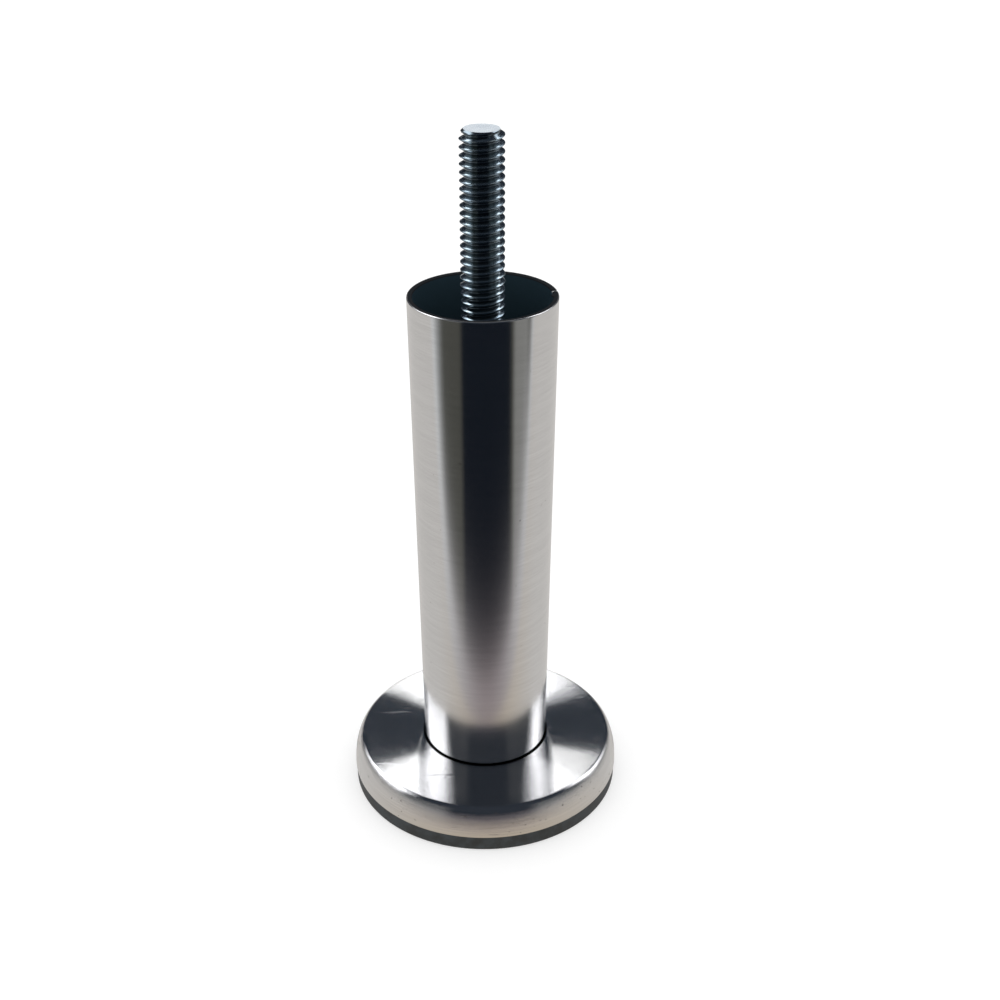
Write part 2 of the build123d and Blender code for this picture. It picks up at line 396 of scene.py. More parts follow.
class Graph:
    """Short calls for building one node tree."""

    def __init__(self, tree):
        self.tree = tree

    def add(self, kind, values=None, **settings):
        """A node with its settings, and its inputs given as values or sockets."""
        node = self.tree.nodes.new(kind)
        for key, value in settings.items():
            setattr(node, key, value)
        for key, value in (values or {}).items():
            if isinstance(value, bpy.types.NodeSocket):
                self.tree.links.new(value, node.inputs[key])
            else:
                node.inputs[key].default_value = value
        return node

    def math(self, operation, *terms):
        """Result of a math node."""
        values = dict(enumerate(terms))
        return self.add("ShaderNodeMath", values, operation=operation).outputs[0]

    def vector(self, operation, *terms, output="Vector"):
        """Result of a vector math node."""
        values = dict(enumerate(terms))
        return self.add("ShaderNodeVectorMath", values, operation=operation).outputs[output]

    def ramp(self, value, low, high, start=0.0, end=1.0, smooth=True):
        """Value mapped from one range to another, smoothly and clamped."""
        kind = "SMOOTHSTEP" if smooth else "LINEAR"
        values = {"Value": value, 1: low, 2: high, 3: start, 4: end}
        return self.add("ShaderNodeMapRange", values, interpolation_type=kind).outputs[0]

    def band(self, value, low, high, soft):
        """1 between low and high, fading to 0 outside over a soft width."""
        rise = self.ramp(value, low - soft, low)
        fall = self.ramp(value, high, high + soft, 1.0, 0.0)
        return self.math("MULTIPLY", rise, fall)

    def noise(self, vector, scale, detail=2.0, rough=0.5, distortion=0.0):
        """Noise value round 0.5."""
        values = {
            "Vector": vector,
            "Scale": scale,
            "Detail": detail,
            "Roughness": rough,
            "Distortion": distortion,
        }
        return self.add("ShaderNodeTexNoise", values).outputs["Fac"]

    def mix(self, factor, first, second):
        """Colour between two colours."""
        values = {0: factor, 6: first, 7: second}
        return self.add("ShaderNodeMix", values, data_type="RGBA").outputs[2]

    def polar(self, place):
        """Distance from the axis and level of a point."""
        flat = self.vector("MULTIPLY", place, (1.0, 1.0, 0.0))
        level = self.add("ShaderNodeSeparateXYZ", {0: place}).outputs[2]
        return self.vector("LENGTH", flat, output="Value"), level

    def group(self, tree, values):
        """Outputs of a shader node group that is placed with its own values."""
        return self.add("ShaderNodeGroup", values, node_tree=tree).outputs

    def by_ray(self, other, mirrored, seen):
        """Shader for the camera, one for what metal mirrors and one for all other light."""
        path = self.add("ShaderNodeLightPath").outputs
        for ray, shader in (("Is Glossy Ray", mirrored), ("Is Camera Ray", seen)):
            other = self.add("ShaderNodeMixShader", {0: path[ray], 1: other, 2: shader}).outputs[0]
        return other


def new_group(name, inputs, outputs):
    """A shader node group with named sockets, and its graph, input node and output node."""
    tree = bpy.data.node_groups.new(name, "ShaderNodeTree")
    for label, kind, value in inputs:
        socket = tree.interface.new_socket(label, in_out="INPUT", socket_type=kind)
        if value is not None:
            socket.default_value = value
    for label, kind in outputs:
        tree.interface.new_socket(label, in_out="OUTPUT", socket_type=kind)
    graph = Graph(tree)
    return tree, graph, graph.add("NodeGroupInput"), graph.add("NodeGroupOutput")


def brushing_group():
    """Fine lines round the axis, from long soft bands to single scratches."""
    found = bpy.data.node_groups.get("circular_brushing")
    if found:
        return found
    tree, graph, given, made = new_group(
        "circular_brushing",
        [
            ("Position", "NodeSocketVector", None),
            ("Fine Lines", "NodeSocketFloat", 9000.0),
            ("Broad Lines", "NodeSocketFloat", 1300.0),
            ("Along", "NodeSocketFloat", 2.2),
        ],
        [("Lines", "NodeSocketFloat"), ("Bands", "NodeSocketFloat")],
    )
    place = given.outputs["Position"]
    radius, level = graph.polar(place)
    round_axis = graph.vector("NORMALIZE", graph.vector("MULTIPLY", place, (1.0, 1.0, 0.0)))
    across = graph.math("SUBTRACT", level, radius)
    for label, lines, stretch in (("Lines", "Fine Lines", 1.0), ("Bands", "Broad Lines", 0.35)):
        along = graph.math("MULTIPLY", given.outputs["Along"], stretch)
        swept = graph.add("ShaderNodeVectorMath", {0: round_axis, "Scale": along}, operation="SCALE")
        lift = graph.add(
            "ShaderNodeCombineXYZ", {2: graph.math("MULTIPLY", across, given.outputs[lines])}
        )
        at = graph.vector("ADD", swept.outputs[0], lift.outputs[0])
        value = graph.noise(at, 1.0, detail=3.0, rough=0.62)
        graph.tree.links.new(value, made.inputs[label])
    return tree


def scuff_group():
    """Small specks and short light scratches scattered over a surface."""
    found = bpy.data.node_groups.get("specks_and_scuffs")
    if found:
        return found
    tree, graph, given, made = new_group(
        "specks_and_scuffs",
        [("Position", "NodeSocketVector", None), ("Amount", "NodeSocketFloat", 0.5)],
        [("Specks", "NodeSocketFloat"), ("Scuffs", "NodeSocketFloat")],
    )
    where = given.outputs["Position"]
    fine = graph.noise(where, 1400.0, detail=1.0)
    patch = graph.noise(where, 90.0, detail=2.0)
    limit = graph.ramp(given.outputs["Amount"], 0.0, 1.0, 0.80, 0.66, smooth=False)
    patch = graph.math("MULTIPLY", graph.math("SUBTRACT", patch, 0.5), 0.25)
    raised = graph.math("ADD", fine, patch)
    specks = graph.ramp(graph.math("SUBTRACT", raised, limit), 0.0, 0.03)
    graph.tree.links.new(specks, made.inputs["Specks"])
    warped = graph.add(
        "ShaderNodeMapping", {"Vector": where, "Rotation": (0.3, 0.9, 0.7), "Scale": (1.0, 9.0, 9.0)}
    ).outputs[0]
    long = graph.noise(warped, 190.0, detail=1.0, distortion=0.6)
    scuffs = graph.ramp(graph.math("SUBTRACT", long, limit), -0.02, 0.03)
    graph.tree.links.new(scuffs, made.inputs["Scuffs"])
    return tree


def tilt_group():
    """Normals tilted at random across the brushing, as the walls of its grooves are."""
    found = bpy.data.node_groups.get("groove_tilt")
    if found:
        return found
    tree, graph, given, made = new_group(
        "groove_tilt",
        [
            ("Position", "NodeSocketVector", None),
            ("Lines", "NodeSocketFloat", 0.5),
            ("Grain Tilt", "NodeSocketFloat", 0.15),
            ("Line Tilt", "NodeSocketFloat", 0.05),
        ],
        [("Normal", "NodeSocketVector")],
    )
    where = given.outputs["Position"]
    round_axis = graph.vector("NORMALIZE", graph.vector("CROSS_PRODUCT", (0.0, 0.0, 1.0), where))
    along = graph.add(
        "ShaderNodeVectorTransform",
        {0: round_axis},
        vector_type="VECTOR",
        convert_from="OBJECT",
        convert_to="WORLD",
    ).outputs[0]
    normal = graph.add("ShaderNodeNewGeometry").outputs["Normal"]
    across = graph.vector("CROSS_PRODUCT", along, normal)
    grain = graph.add("ShaderNodeTexWhiteNoise", {0: where}, noise_dimensions="3D").outputs[0]
    grain = graph.math("MULTIPLY_ADD", grain, 2.0, -1.0)
    grain = graph.math("MULTIPLY", grain, given.outputs["Grain Tilt"])
    lines = graph.math("MULTIPLY_ADD", given.outputs["Lines"], 4.0, -2.0)
    lines = graph.math("MULTIPLY", lines, given.outputs["Line Tilt"])
    tilt = graph.add(
        "ShaderNodeVectorMath", {0: across, "Scale": graph.math("ADD", grain, lines)}, operation="SCALE"
    ).outputs[0]
    tilted = graph.vector("NORMALIZE", graph.vector("ADD", normal, tilt))
    graph.tree.links.new(tilted, made.inputs["Normal"])
    return tree


def joint_group():
    """Shade round the ring where the sleeve stands on the cover."""
    found = bpy.data.node_groups.get("joint_shade")
    if found:
        return found
    tree, graph, given, made = new_group(
        "joint_shade",
        [
            ("Position", "NodeSocketVector", None),
            ("Ring Radius", "NodeSocketFloat", 0.01215),
            ("Ring Level", "NodeSocketFloat", 0.0093),
            ("Reach", "NodeSocketFloat", 0.0005),
        ],
        [("Shade", "NodeSocketFloat")],
    )
    radius, level = graph.polar(given.outputs["Position"])
    out = graph.math("SUBTRACT", radius, given.outputs["Ring Radius"])
    up = graph.math("SUBTRACT", level, given.outputs["Ring Level"])
    away = graph.math(
        "SQRT", graph.math("ADD", graph.math("MULTIPLY", out, out), graph.math("MULTIPLY", up, up))
    )
    ratio = graph.math("DIVIDE", away, given.outputs["Reach"])
    graph.tree.links.new(graph.ramp(ratio, 0.45, 1.0, 1.0, 0.0), made.inputs["Shade"])
    return tree


def sleeve_group():
    """Masks for the painted shade inside the tapered sleeve and for the painted dark reflection on the
    cut face of its rim.
    """
    found = bpy.data.node_groups.get("sleeve_masks")
    if found:
        return found
    tree, graph, given, made = new_group(
        "sleeve_masks",
        [
            ("Position", "NodeSocketVector", None),
            ("Foot Radius", "NodeSocketFloat", 0.01215),
            ("Foot Level", "NodeSocketFloat", 0.0093),
            ("Slope", "NodeSocketFloat", 0.0129),
            ("Rim Level", "NodeSocketFloat", 0.102),
            ("Wall", "NodeSocketFloat", 0.001),
        ],
        [("Bore", "NodeSocketFloat"), ("Cut Face", "NodeSocketFloat")],
    )
    radius, level = graph.polar(given.outputs["Position"])
    wall = given.outputs["Wall"]
    up = graph.math("SUBTRACT", level, given.outputs["Foot Level"])
    outer = graph.math("MULTIPLY_ADD", up, given.outputs["Slope"], given.outputs["Foot Radius"])
    depth = graph.math("DIVIDE", graph.math("SUBTRACT", outer, radius), wall)
    graph.tree.links.new(graph.ramp(depth, 0.80, 0.90), made.inputs["Bore"])
    below = graph.math("DIVIDE", graph.math("SUBTRACT", given.outputs["Rim Level"], level), wall)
    near = graph.ramp(below, 0.25, 0.35, 1.0, 0.0)
    face = graph.math("MULTIPLY", graph.ramp(depth, 0.10, 0.20), near)
    graph.tree.links.new(face, made.inputs["Cut Face"])
    return tree


def new_material(name):
    """An empty material with its graph, shader and the point on the object's surface."""
    material = bpy.data.materials.new(name)
    material.use_nodes = True
    tree = material.node_tree
    tree.nodes.clear()
    graph = Graph(tree)
    shader = graph.add("ShaderNodeBsdfPrincipled")
    out = graph.add("ShaderNodeOutputMaterial")
    tree.links.new(shader.outputs[0], out.inputs["Surface"])
    place = graph.add("ShaderNodeTexCoord").outputs["Object"]
    return material, graph, shader, place


def connect(graph, shader, **sockets):
    """Links values to a shader's named inputs, with an underline for each space."""
    for key, value in sockets.items():
        graph.tree.links.new(value, shader.inputs[key.replace("_", " ")])


def tinted(base, factor=1.0):
    """A colour made lighter or darker, with full opacity."""
    return (*[min(1.0, part * factor) for part in base], 1.0)


def brushed_steel(name, finish, rough, spread, lines, strength, amount, ring, bore=None, tilt=None):
    """Brushed steel whose fine lines run round the axis, with painted shade in the joint and, on the
    sleeve, painted shade with a teal sheen in the bore and a painted dark reflection on the rim's cut
    face.
    """
    material, graph, shader, place = new_material(name)
    shader.inputs["Metallic"].default_value = 1.0
    shader.inputs["Anisotropic"].default_value = spread
    shader.inputs["Anisotropic Rotation"].default_value = 0.25
    brush = graph.group(brushing_group(), {"Position": place, "Fine Lines": lines})
    scuff = graph.group(scuff_group(), {"Position": place, "Amount": amount})
    joint = graph.group(joint_group(), {"Position": place, **ring})
    fine, specks, scuffs = brush["Lines"], scuff["Specks"], scuff["Scuffs"]
    tone = graph.math("MULTIPLY", brush["Bands"], 0.4)
    tone = graph.math("MULTIPLY_ADD", fine, 0.6, tone)
    look = graph.mix(graph.ramp(tone, 0.35, 0.65), tinted(finish.steel, 0.95), tinted(finish.steel, 1.04))
    look = graph.mix(specks, look, tinted(finish.specks))
    # Painted shade round the joint where the sleeve stands on the cover.
    look = graph.mix(joint["Shade"], look, tinted(finish.painted_shade))
    if bore:
        masks = graph.group(sleeve_group(), {"Position": place, **bore})
        # Painted shade inside the sleeve, a dark teal colour with a painted sheen.
        look = graph.mix(masks["Bore"], look, tinted(finish.bore))
        # Painted dark reflection on the rim's cut face.
        look = graph.mix(masks["Cut Face"], look, tinted(finish.painted_rim_reflection))
        # The metal mirrors less in the bore's painted shade, and not at all on the rim's painted dark
        # face.
        bore_shade_metallic = graph.ramp(masks["Bore"], 0.0, 1.0, 1.0, 0.3, smooth=False)
        rim_reflection_metallic = graph.ramp(masks["Cut Face"], 0.0, 1.0, 1.0, 0.0, smooth=False)
        shader.inputs["Specular IOR Level"].default_value = 0.0
        connect(graph, shader, Metallic=graph.math("MULTIPLY", bore_shade_metallic, rim_reflection_metallic))
    uneven = graph.math("MULTIPLY_ADD", scuffs, -0.35, fine)
    roughness = graph.ramp(uneven, 0.2, 0.8, rough * 0.9, rough * 1.1, smooth=False)
    height = graph.math("MULTIPLY_ADD", specks, -0.8, fine)
    bump = {"Height": height, "Strength": strength, "Distance": 0.00001}
    if tilt:
        grain_tilt, line_tilt = tilt
        worn = graph.math("MAXIMUM", specks, scuffs)
        rougher = graph.ramp(worn, 0.0, 1.0, grain_tilt, grain_tilt + 0.5, smooth=False)
        values = {"Position": place, "Lines": fine, "Grain Tilt": rougher, "Line Tilt": line_tilt}
        bump["Normal"] = graph.group(tilt_group(), values)["Normal"]
    normal = graph.add("ShaderNodeBump", bump).outputs[0]
    tangent = graph.add("ShaderNodeTangent", direction_type="RADIAL", axis="Z").outputs[0]
    connect(graph, shader, Base_Color=look, Roughness=roughness, Normal=normal, Tangent=tangent)
    return material


def zinc_plate(name, base, rough, thread=None):
    """Bluish zinc plate, blotchy, with painted shade in a thread's roots, or the same dark colour mixed
    evenly all over where it has none.
    """
    material, graph, shader, place = new_material(name)
    blotch = graph.noise(place, 260.0, detail=4.0, rough=0.6)
    grain = graph.noise(place, 2600.0, detail=3.0, rough=0.6)
    dull = (base[0] * 0.72, base[1] * 0.76, base[2] * 0.82)
    body = graph.mix(graph.ramp(blotch, 0.35, 0.7), tinted(base), tinted(dull))
    # Painted shade: a dark colour in the thread's roots that fades out towards the crests; without a
    # thread it is mixed evenly all over.
    painted_shade, amount = (0.05, 0.055, 0.06, 1.0), 0.55
    if thread:
        root_radius, crest_radius = thread
        radius, _ = graph.polar(place)
        amount = graph.ramp(radius, root_radius, crest_radius, amount, 0.0)
    shaded_look = graph.mix(amount, body, painted_shade)
    roughness = graph.ramp(blotch, 0.3, 0.75, rough - 0.05, rough + 0.1, smooth=False)
    bump = graph.add(
        "ShaderNodeBump", {"Height": grain, "Strength": 0.35, "Distance": 0.00002}
    ).outputs[0]
    shader.inputs["Metallic"].default_value = 1.0
    connect(graph, shader, Base_Color=shaded_look, Roughness=roughness, Normal=bump)
    return material


def moulded_rubber(name, base, rough):
    """Dark matt moulded pad with a fine mottled skin."""
    material, graph, shader, place = new_material(name)
    mottle = graph.noise(place, 420.0, detail=4.0, rough=0.6)
    grain = graph.noise(place, 5200.0, detail=3.0, rough=0.6)
    body = graph.mix(graph.ramp(mottle, 0.3, 0.7), tinted(base, 0.7), tinted(base, 1.5))
    roughness = graph.ramp(mottle, 0.3, 0.7, rough - 0.08, rough + 0.08, smooth=False)
    bump = graph.add(
        "ShaderNodeBump", {"Height": grain, "Strength": 0.5, "Distance": 0.00004}
    ).outputs[0]
    connect(graph, shader, Base_Color=body, Roughness=roughness, Normal=bump)
    return material


class LEG_OT_sleeve(bpy.types.Operator):
    """Builds the tapered sleeve with its seam and the nick in its rim"""

    bl_idname = "leg.sleeve"
    bl_label = "Sleeve"

    def execute(self, context):
        sizes, finish = context.scene.leg_sizes, context.scene.leg_finish
        foot, rim = levels("tube")
        foot_radius = sizes.sleeve_foot_diameter / 2
        rim_radius = sizes.sleeve_rim_diameter / 2
        wall = sizes.sleeve_wall
        slope = (rim_radius - foot_radius) / (rim - foot)
        outline = rounded([
            (foot_radius - wall, foot, 0),
            (foot_radius, foot, sizes.foot_rounding),
            (rim_radius, rim, sizes.rim_rounding),
            (rim_radius - wall, rim, sizes.rim_rounding),
        ])
        outline = divided(outline, 5 * MM)
        seam = np.arange(SEAM_START, SEAM_END, SEAM_STEP)
        plain = np.arange(SEAM_END, SEAM_START + 360, PLAIN_STEP)
        half = math.degrees(sizes.nick_width / 2 / rim_radius)
        nick = math.degrees(sizes.nick_angle)
        sides = [nick - half - NICK_SIDE, nick - half, nick + half, nick + half + NICK_SIDE]
        angles = np.radians(np.sort(np.concatenate([seam, plain, sides])))

        def reshape(radius, height, angles):
            outer = foot_radius + (height - foot) * slope
            inside = np.clip((outer - radius) / wall * 2 - 1, 0, 1)
            bead_offset = (angles - sizes.bead_angle) * (outer - wall)
            bead_cut = sizes.bead_radius - sizes.bead_rise
            bead = np.sqrt(np.clip(sizes.bead_radius**2 - bead_offset**2, 0, None)) - bead_cut
            radius = radius - np.clip(bead, 0, None) * inside
            nick_offset = (angles - sizes.nick_angle) * rim_radius
            half_width = sizes.nick_width / 2
            arch = np.sqrt(np.clip(half_width**2 - nick_offset**2, 0, None))
            in_nick = np.abs(nick_offset) <= half_width * 1.0001
            drop = np.where(in_nick, sizes.nick_depth - half_width + arch, 0)
            near_rim = np.clip((height - rim) / NICK_PULL + 1, 0, 1)
            return radius, height - drop * near_rim

        material = brushed_steel(
            "sleeve_steel",
            finish,
            finish.sleeve_roughness,
            finish.sleeve_spread,
            lines=9000.0,
            strength=0.02,
            amount=0.0,
            ring={"Ring Radius": foot_radius, "Ring Level": foot},
            bore={
                "Foot Radius": foot_radius,
                "Foot Level": foot,
                "Slope": slope,
                "Rim Level": rim,
                "Wall": wall,
            },
        )
        shell = lathe(outline, angles, reshape=reshape)
        make_piece("sleeve", shell, material, "tube")
        return {"FINISHED"}


class LEG_OT_foot_cover(bpy.types.Operator):
    """Builds the stamped cover of the foot with its raised boss"""

    bl_idname = "leg.foot_cover"
    bl_label = "Foot cover"

    def execute(self, context):
        sizes, finish = context.scene.leg_sizes, context.scene.leg_finish
        edge, boss_top = levels("base_cover")
        top, _ = levels("tube")
        sheet = sizes.cover_sheet
        radius = sizes.cover_diameter / 2
        taper = (sizes.boss_foot - sizes.boss_head) / (boss_top - top)

        def boss_side(inset, level):
            return sizes.boss_foot - inset * math.hypot(1, taper) - (level - top) * taper

        corners = [
            (radius, edge, sizes.cover_edge),
            *shoulder(sizes, 0, top),
            (boss_side(0, top), top, sizes.boss_foot_rounding),
            (boss_side(0, boss_top), boss_top, sizes.boss_head_rounding),
            (sizes.bolt_hole, boss_top, 0),
            (sizes.bolt_hole, boss_top - sheet, 0),
            (boss_side(sheet, boss_top - sheet), boss_top - sheet, 0),
            (boss_side(sheet, top - sheet), top - sheet, 0),
            *reversed(shoulder(sizes, sheet, top)),
            (radius - sheet, edge, 0),
        ]
        outline = rounded(corners, step=math.radians(6))
        outline = divided(outline, 2.5 * MM)
        material = brushed_steel(
            "cover_steel",
            finish,
            finish.cover_roughness,
            finish.cover_spread,
            lines=8000.0,
            strength=0.04,
            amount=0.5,
            ring={"Ring Radius": sizes.sleeve_foot_diameter / 2, "Ring Level": top},
            tilt=(0.22, 0.035),
        )
        shell = lathe(outline, even_angles(COVER_SIDES))
        make_piece("foot_cover", shell, material, "base_cover")
        return {"FINISHED"}


def grooved_disc(sizes, radius):
    """The pad's lower ring, with its recess and its grip grooves."""
    recess, flange = sizes.recess_radius, sizes.pad_flange
    recess_edge, groove_edge, flange_edge = 0.15 * MM, 0.08 * MM, 0.1 * MM
    corners = [
        (0, sizes.recess_depth, 0),
        (recess, sizes.recess_depth, 0),
        (recess, 0, recess_edge),
    ]
    for step in range(sizes.groove_count):
        middle = recess + sizes.groove_spacing * (step + 1)
        near, far = middle - sizes.groove_width / 2, middle + sizes.groove_width / 2
        corners += [(near, 0, groove_edge), (near, sizes.groove_depth, 0)]
        corners += [(far, sizes.groove_depth, 0), (far, 0, groove_edge)]
    corners += [(radius, 0, sizes.pad_edge), (radius, flange, flange_edge), (0, flange, 0)]
    return lathe(rounded(corners, closed=False), even_angles(PAD_SIDES), closed=False)


def plain_ring(inner, outer, low, high, sides, reshape=None):
    """Ring with straight walls between two levels."""
    outline = np.array([(inner, low), (outer, low), (outer, high), (inner, high)])
    return lathe(outline, even_angles(sides), reshape=reshape)


def spokes(count, *form):
    """Radial bars, evenly round the axis, each with the form that block takes."""
    return [block(*form, turn) for turn in even_angles(count)]


class LEG_OT_foot_pad(bpy.types.Operator):
    """Builds the moulded pad with its grooves, plug, ribs, ring, hub and webs"""

    bl_idname = "leg.foot_pad"
    bl_label = "Foot pad"

    def execute(self, context):
        sizes, finish = context.scene.leg_sizes, context.scene.leg_finish
        flange = sizes.pad_flange
        top, _ = levels("tube")
        _, hub_top = levels("base_pad")
        underside = top - sizes.cover_sheet
        radius = sizes.cover_diameter / 2
        inset = sizes.cover_sheet + sizes.plug_gap
        bore = radius - inset - sizes.plug_wall
        plug = lathe(
            rounded([
                (bore, flange, 0),
                (radius - inset, flange, 0),
                *shoulder(sizes, inset, top, step=15),
                (radius - sizes.shoulder_reach - sizes.plug_gap, underside, 0),
                (bore, underside, 0),
            ]),
            even_angles(RING_SIDES),
        )
        outer = sizes.ring_radius
        ring = plain_ring(outer - sizes.ring_wall, outer, flange, underside, RING_SIDES)

        def pocket(radius, height, angles):
            inner = radius < sizes.hub_radius * 0.95
            return np.where(inner, hex_reach(sizes.pocket_flats, angles), radius), height

        hub_radius, pocket_floor = sizes.hub_radius, sizes.pocket_floor
        hub = plain_ring(
            sizes.pocket_flats / 2, hub_radius, flange, hub_top, HEX_SIDES, reshape=pocket
        )
        floor = lathe(
            np.array([(0.0, pocket_floor), (hub_radius - 0.2 * MM, pocket_floor)]),
            even_angles(HEX_SIDES),
            closed=False,
        )
        # Webs and ribs run a little into the pieces that they join.
        web_start, web_end, rib_start = hub_radius - 0.3 * MM, bore + 0.3 * MM, bore + 0.5 * MM
        rib_top = flange + sizes.rib_height
        rib_end = shoulder_radius(sizes, sizes.cover_sheet + sizes.rib_gap, top, rib_top)
        shell = joined(
            grooved_disc(sizes, radius - sizes.pad_overhang),
            plug,
            ring,
            hub,
            floor,
            *spokes(sizes.web_count, web_start, web_end, sizes.web_width, flange, underside),
            *spokes(sizes.rib_count, rib_start, rib_end, sizes.rib_width, flange, rib_top),
        )
        material = moulded_rubber("pad_rubber", finish.rubber, finish.rubber_roughness)
        make_piece("foot_pad", shell, material, "base_pad", work=weld)
        return {"FINISHED"}


def threaded_shank(sizes, bottom, top):
    """Right-handed screw thread, whose rows follow the turns, with spare turns at both ends."""
    crest, pitch = sizes.thread_diameter / 2, sizes.thread_pitch
    down = np.array(THREAD_FLANK)
    profile = np.concatenate([down, down[::-1] * (-1, 1) + (1, 0)])
    spare = 1.5
    turns = math.ceil((top - bottom) / pitch + 2 * spare)
    along = (np.arange(turns)[:, None] + profile[None, :, 0]).reshape(-1)
    drop = np.tile(profile[:, 1], turns) * sizes.thread_depth
    step = np.arange(THREAD_SIDES)
    height = bottom + pitch * (along[:, None] - spare + step[None, :] / THREAD_SIDES)
    cone = crest - sizes.bolt_chamfer + (top - height)
    radius = np.minimum(crest - np.repeat(drop[:, None], THREAD_SIDES, axis=1), cone)
    angles = even_angles(THREAD_SIDES)
    spots = np.stack([radius * np.cos(angles), radius * np.sin(angles), height], axis=2)
    faces = []
    rows, points = len(along), len(profile)
    for row in range(rows - 1):
        for column in range(THREAD_SIDES - 1):
            first = row * THREAD_SIDES + column
            faces.append((first, first + 1, first + THREAD_SIDES + 1, first + THREAD_SIDES))
        if row + points + 1 < rows:
            last = (row + 1) * THREAD_SIDES - 1
            onward = (row + points) * THREAD_SIDES
            faces.append((last, onward, onward + THREAD_SIDES, last + THREAD_SIDES))
    return spots.reshape(-1, 3), faces


def cut_flat(shell, bottom, top):
    """The shell cut off at two levels, with both ends closed."""
    spots, faces = shell
    mesh = bpy.data.meshes.new("shank")
    mesh.from_pydata(spots.tolist(), [], faces)
    work_mesh = bmesh.new()
    work_mesh.from_mesh(mesh)
    for level, outward in ((bottom, -1), (top, 1)):
        cut = bmesh.ops.bisect_plane(
            work_mesh,
            geom=[*work_mesh.verts, *work_mesh.edges, *work_mesh.faces],
            dist=1e-8,
            plane_co=(0, 0, level),
            plane_no=(0, 0, outward),
            clear_outer=True,
        )
        edges = [part for part in cut["geom_cut"] if isinstance(part, bmesh.types.BMEdge)]
        bmesh.ops.contextual_create(work_mesh, geom=edges)
    work_mesh.to_mesh(mesh)
    work_mesh.free()
    cut_spots = np.array([spot.co for spot in mesh.vertices])
    cut_faces = [tuple(face.vertices) for face in mesh.polygons]
    bpy.data.meshes.remove(mesh)
    return cut_spots, cut_faces


class LEG_OT_long_bolt(bpy.types.Operator):
    """Builds the long bolt with its thread and hex head"""

    bl_idname = "leg.long_bolt"
    bl_label = "Long bolt"

    def execute(self, context):
        sizes, finish = context.scene.leg_sizes, context.scene.leg_finish
        head_bottom, end = levels("bolt")
        seat = head_bottom + sizes.head_height
        side = np.array([
            (0.0, head_bottom),
            (BEARING_SHARE * sizes.head_flats / 2, head_bottom),
            (sizes.head_flats, head_bottom),
            (sizes.head_flats, seat),
            (0.0, seat),
        ])
        form = hexagon(sizes.head_flats, False, (head_bottom + seat) / 2)
        head = lathe(side, even_angles(HEX_SIDES), closed=False, reshape=form)
        start = seat - 1 * MM
        shank = cut_flat(threaded_shank(sizes, start, end), start, end)
        crest = sizes.thread_diameter / 2
        thread = (crest - sizes.thread_depth, crest)
        material = zinc_plate("bolt_zinc", finish.zinc, finish.zinc_roughness, thread)
        shell = joined(shank, head)
        make_piece(
            "long_bolt", shell, material, "bolt", sharp=60, work=weld, face_level=end
        )
        return {"FINISHED"}


class LEG_OT_clamp_set(bpy.types.Operator):
    """Builds the clamp nut inside the sleeve and finishes the two washers under it"""

    bl_idname = "leg.clamp_set"
    bl_label = "Clamp set"

    def execute(self, context):
        sizes, finish = context.scene.leg_sizes, context.scene.leg_finish
        # The nut and washers have no thread, so the painted shade's dark colour is mixed evenly all over
        # them.
        material = zinc_plate("clamp_zinc", finish.zinc, finish.zinc_roughness + 0.08)
        seat, end = levels("clamp_nut")
        bore = sizes.thread_diameter / 2 + sizes.nut_gap
        bearing = BEARING_SHARE * sizes.nut_flats / 2
        bevel = sizes.nut_countersink
        side = np.array([
            (bore, seat + bevel),
            (bore + bevel, seat),
            (bearing, seat),
            (sizes.nut_flats, seat),
            (sizes.nut_flats, end),
            (bearing, end),
            (bore + bevel, end),
            (bore, end - bevel),
        ])
        form = hexagon(sizes.nut_flats, True, (seat + end) / 2)
        nut = lathe(side, even_angles(HEX_SIDES), reshape=form)
        make_piece("hex_nut", nut, material, "clamp_nut")
        for node in ("flat_washer", "lock_washer"):
            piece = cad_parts[node]
            piece.data.materials.clear()
            piece.data.materials.append(material)
        return {"FINISHED"}


